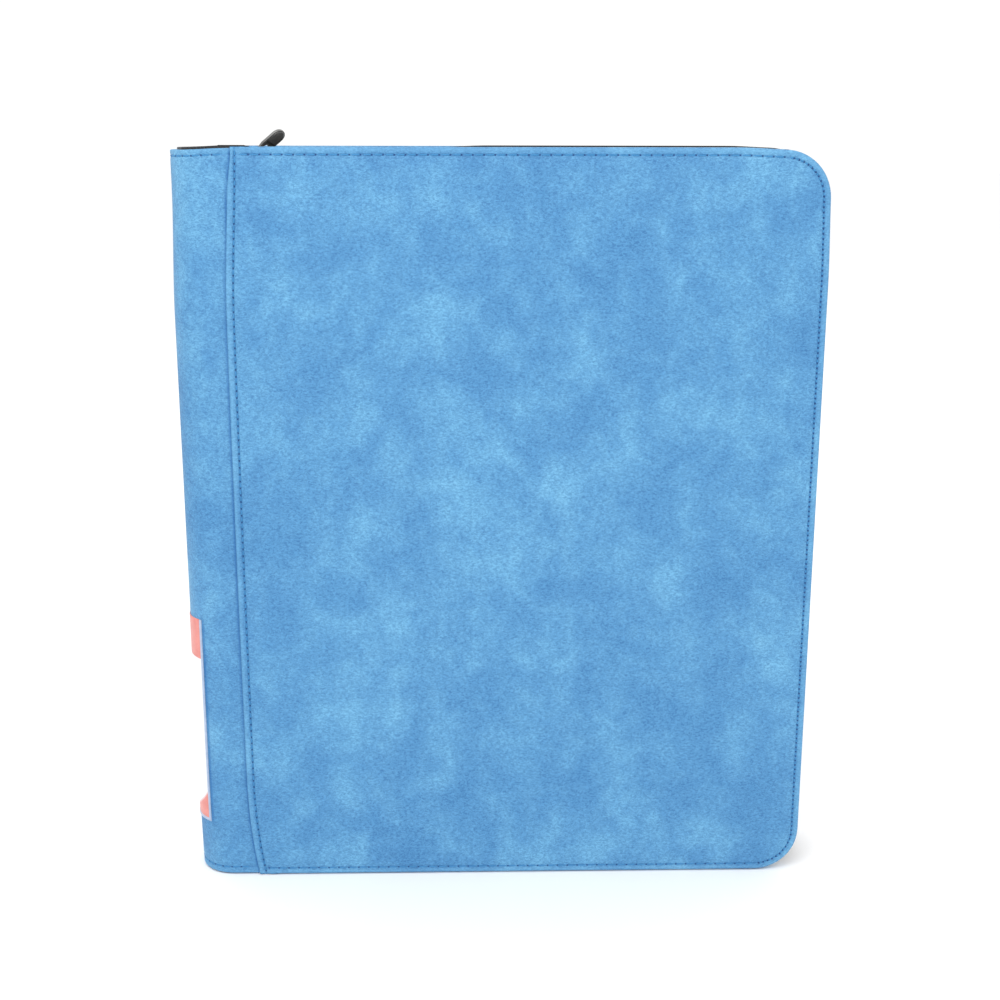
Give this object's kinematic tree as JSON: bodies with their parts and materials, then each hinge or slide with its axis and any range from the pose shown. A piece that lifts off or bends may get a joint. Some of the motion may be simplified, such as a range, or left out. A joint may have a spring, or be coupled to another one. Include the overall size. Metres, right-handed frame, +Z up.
{
  "type": "zip trading card binder",
  "caption": "Zip-up trading card binder with padded covers, a rounded spine with a plain label, pocket leaves, and a slider with a swinging pull.",
  "frame": {"origin": "middle of the bounding box in X and Y, on the plane of the bottom edge that the closed binder stands on", "axes": "+Z up along the spine, from the bottom edge to the top edge; +Y from the front cover to the back cover; +X from the spine to the fore-edge"},
  "size_m": [0.2926, 0.042, 0.3527],
  "materials": {
    "sky_blue_leather": "satin",
    "grey_foam": "matte",
    "grey_board": "matte",
    "black_lining": "matte",
    "blue_thread": "satin",
    "printed_label": "satin",
    "black_binding": "matte",
    "pocket_leaf": "gloss",
    "black_zip_tape": "matte",
    "black_zip_coil": "satin",
    "gunmetal": "satin"
  },
  "bodies": {
    "back_cover": {"cover_skin_back": "sky_blue_leather", "padding_back": "grey_foam", "board_back": "grey_board", "lining_back": "black_lining", "spine_strip_back": "sky_blue_leather", "seam_thread_back": "blue_thread", "edge_thread_back": "blue_thread", "hem_thread_back_bottom": "blue_thread", "hem_thread_back_top": "blue_thread", "zip_tape_back": "black_zip_tape", "zip_coil_back": "black_zip_coil", "zip_top_stop_back": "gunmetal", "zip_bottom_stop": "gunmetal"},
    "spine": {"spine_skin": "sky_blue_leather", "spine_stiffener": "grey_board", "spine_lining": "black_lining", "leaf_binding": "black_binding", "spine_label": "printed_label", "hem_thread_spine_bottom": "blue_thread", "hem_thread_spine_top": "blue_thread"},
    "front_cover": {"cover_skin_front": "sky_blue_leather", "padding_front": "grey_foam", "board_front": "grey_board", "lining_front": "black_lining", "spine_strip_front": "sky_blue_leather", "seam_thread_front": "blue_thread", "edge_thread_front": "blue_thread", "hem_thread_front_bottom": "blue_thread", "hem_thread_front_top": "blue_thread", "zip_tape_front": "black_zip_tape", "zip_coil_front": "black_zip_coil", "zip_top_stop_front": "gunmetal"},
    "leaf_01": {"leaf_01": "pocket_leaf"},
    "leaf_02": {"leaf_02": "pocket_leaf"},
    "leaf_03": {"leaf_03": "pocket_leaf"},
    "leaf_04": {"leaf_04": "pocket_leaf"},
    "leaf_05": {"leaf_05": "pocket_leaf"},
    "leaf_06": {"leaf_06": "pocket_leaf"},
    "leaf_07": {"leaf_07": "pocket_leaf"},
    "leaf_08": {"leaf_08": "pocket_leaf"},
    "leaf_09": {"leaf_09": "pocket_leaf"},
    "leaf_10": {"leaf_10": "pocket_leaf"},
    "leaf_11": {"leaf_11": "pocket_leaf"},
    "leaf_12": {"leaf_12": "pocket_leaf"},
    "leaf_13": {"leaf_13": "pocket_leaf"},
    "leaf_14": {"leaf_14": "pocket_leaf"},
    "leaf_15": {"leaf_15": "pocket_leaf"},
    "leaf_16": {"leaf_16": "pocket_leaf"},
    "leaf_17": {"leaf_17": "pocket_leaf"},
    "leaf_18": {"leaf_18": "pocket_leaf"},
    "leaf_19": {"leaf_19": "pocket_leaf"},
    "leaf_20": {"leaf_20": "pocket_leaf"},
    "zip_slider": {"zip_slider": "gunmetal"},
    "zip_pull": {"zip_pull": "gunmetal"}
  },
  "joints": [
    {"name": "back_hinge", "type": "hinge", "parent": "back_cover", "child": "spine", "pos_m": [-0.13783, 0.01661, 0.1725], "axis": [0, 0, -1], "range_deg": [0, 90]},
    {"name": "front_hinge", "type": "hinge", "parent": "spine", "child": "front_cover", "pos_m": [-0.13783, -0.01661, 0.1725], "axis": [0, 0, -1], "range_deg": [0, 90]},
    {"name": "leaf_01_turn", "type": "hinge", "parent": "spine", "child": "leaf_01", "pos_m": [-0.1365, -0.01045, 0.1725], "axis": [0, 0, -1], "range_deg": [0, 72.5]},
    {"name": "leaf_02_turn", "type": "hinge", "parent": "spine", "child": "leaf_02", "pos_m": [-0.1365, -0.00935, 0.1725], "axis": [0, 0, -1], "range_deg": [0, 65.3]},
    {"name": "leaf_03_turn", "type": "hinge", "parent": "spine", "child": "leaf_03", "pos_m": [-0.1365, -0.00825, 0.1725], "axis": [0, 0, -1], "range_deg": [0, 58.1]},
    {"name": "leaf_04_turn", "type": "hinge", "parent": "spine", "child": "leaf_04", "pos_m": [-0.1365, -0.00715, 0.1725], "axis": [0, 0, -1], "range_deg": [0, 50.9]},
    {"name": "leaf_05_turn", "type": "hinge", "parent": "spine", "child": "leaf_05", "pos_m": [-0.1365, -0.00605, 0.1725], "axis": [0, 0, -1], "range_deg": [0, 43.7]},
    {"name": "leaf_06_turn", "type": "hinge", "parent": "spine", "child": "leaf_06", "pos_m": [-0.1365, -0.00495, 0.1725], "axis": [0, 0, -1], "range_deg": [0, 36.5]},
    {"name": "leaf_07_turn", "type": "hinge", "parent": "spine", "child": "leaf_07", "pos_m": [-0.1365, -0.00385, 0.1725], "axis": [0, 0, -1], "range_deg": [0, 29.3]},
    {"name": "leaf_08_turn", "type": "hinge", "parent": "spine", "child": "leaf_08", "pos_m": [-0.1365, -0.00275, 0.1725], "axis": [0, 0, -1], "range_deg": [0, 22.1]},
    {"name": "leaf_09_turn", "type": "hinge", "parent": "spine", "child": "leaf_09", "pos_m": [-0.1365, -0.00165, 0.1725], "axis": [0, 0, -1], "range_deg": [0, 14.9]},
    {"name": "leaf_10_turn", "type": "hinge", "parent": "spine", "child": "leaf_10", "pos_m": [-0.1365, -0.00055, 0.1725], "axis": [0, 0, -1], "range_deg": [0, 7.7]},
    {"name": "leaf_11_turn", "type": "hinge", "parent": "spine", "child": "leaf_11", "pos_m": [-0.1365, 0.00055, 0.1725], "axis": [0, 0, -1], "range_deg": [-7.7, 0]},
    {"name": "leaf_12_turn", "type": "hinge", "parent": "spine", "child": "leaf_12", "pos_m": [-0.1365, 0.00165, 0.1725], "axis": [0, 0, -1], "range_deg": [-14.9, 0]},
    {"name": "leaf_13_turn", "type": "hinge", "parent": "spine", "child": "leaf_13", "pos_m": [-0.1365, 0.00275, 0.1725], "axis": [0, 0, -1], "range_deg": [-22.1, 0]},
    {"name": "leaf_14_turn", "type": "hinge", "parent": "spine", "child": "leaf_14", "pos_m": [-0.1365, 0.00385, 0.1725], "axis": [0, 0, -1], "range_deg": [-29.3, 0]},
    {"name": "leaf_15_turn", "type": "hinge", "parent": "spine", "child": "leaf_15", "pos_m": [-0.1365, 0.00495, 0.1725], "axis": [0, 0, -1], "range_deg": [-36.5, 0]},
    {"name": "leaf_16_turn", "type": "hinge", "parent": "spine", "child": "leaf_16", "pos_m": [-0.1365, 0.00605, 0.1725], "axis": [0, 0, -1], "range_deg": [-43.7, 0]},
    {"name": "leaf_17_turn", "type": "hinge", "parent": "spine", "child": "leaf_17", "pos_m": [-0.1365, 0.00715, 0.1725], "axis": [0, 0, -1], "range_deg": [-50.9, 0]},
    {"name": "leaf_18_turn", "type": "hinge", "parent": "spine", "child": "leaf_18", "pos_m": [-0.1365, 0.00825, 0.1725], "axis": [0, 0, -1], "range_deg": [-58.1, 0]},
    {"name": "leaf_19_turn", "type": "hinge", "parent": "spine", "child": "leaf_19", "pos_m": [-0.1365, 0.00935, 0.1725], "axis": [0, 0, -1], "range_deg": [-65.3, 0]},
    {"name": "leaf_20_turn", "type": "hinge", "parent": "spine", "child": "leaf_20", "pos_m": [-0.1365, 0.01045, 0.1725], "axis": [0, 0, -1], "range_deg": [-72.5, 0]},
    {"name": "slider_slide", "type": "slide", "parent": "back_cover", "child": "zip_slider", "axis": [1, 0, 0], "range_m": [0, 0.2228]},
    {"name": "pull_swing", "type": "hinge", "parent": "zip_slider", "child": "zip_pull", "pos_m": [-0.1055, 0, 0.3422], "axis": [0, -1, 0], "range_deg": [-28, 113]}
  ],
  "couplings": [
    {"joint": "leaf_01_turn", "follows": "front_hinge", "ratio": 0.8},
    {"joint": "leaf_02_turn", "follows": "front_hinge", "ratio": 0.72},
    {"joint": "leaf_03_turn", "follows": "front_hinge", "ratio": 0.64},
    {"joint": "leaf_04_turn", "follows": "front_hinge", "ratio": 0.56},
    {"joint": "leaf_05_turn", "follows": "front_hinge", "ratio": 0.48},
    {"joint": "leaf_06_turn", "follows": "front_hinge", "ratio": 0.4},
    {"joint": "leaf_07_turn", "follows": "front_hinge", "ratio": 0.32},
    {"joint": "leaf_08_turn", "follows": "front_hinge", "ratio": 0.24},
    {"joint": "leaf_09_turn", "follows": "front_hinge", "ratio": 0.16},
    {"joint": "leaf_10_turn", "follows": "front_hinge", "ratio": 0.08},
    {"joint": "leaf_11_turn", "follows": "back_hinge", "ratio": -0.08},
    {"joint": "leaf_12_turn", "follows": "back_hinge", "ratio": -0.16},
    {"joint": "leaf_13_turn", "follows": "back_hinge", "ratio": -0.24},
    {"joint": "leaf_14_turn", "follows": "back_hinge", "ratio": -0.32},
    {"joint": "leaf_15_turn", "follows": "back_hinge", "ratio": -0.4},
    {"joint": "leaf_16_turn", "follows": "back_hinge", "ratio": -0.48},
    {"joint": "leaf_17_turn", "follows": "back_hinge", "ratio": -0.56},
    {"joint": "leaf_18_turn", "follows": "back_hinge", "ratio": -0.64},
    {"joint": "leaf_19_turn", "follows": "back_hinge", "ratio": -0.72},
    {"joint": "leaf_20_turn", "follows": "back_hinge", "ratio": -0.8}
  ]
}
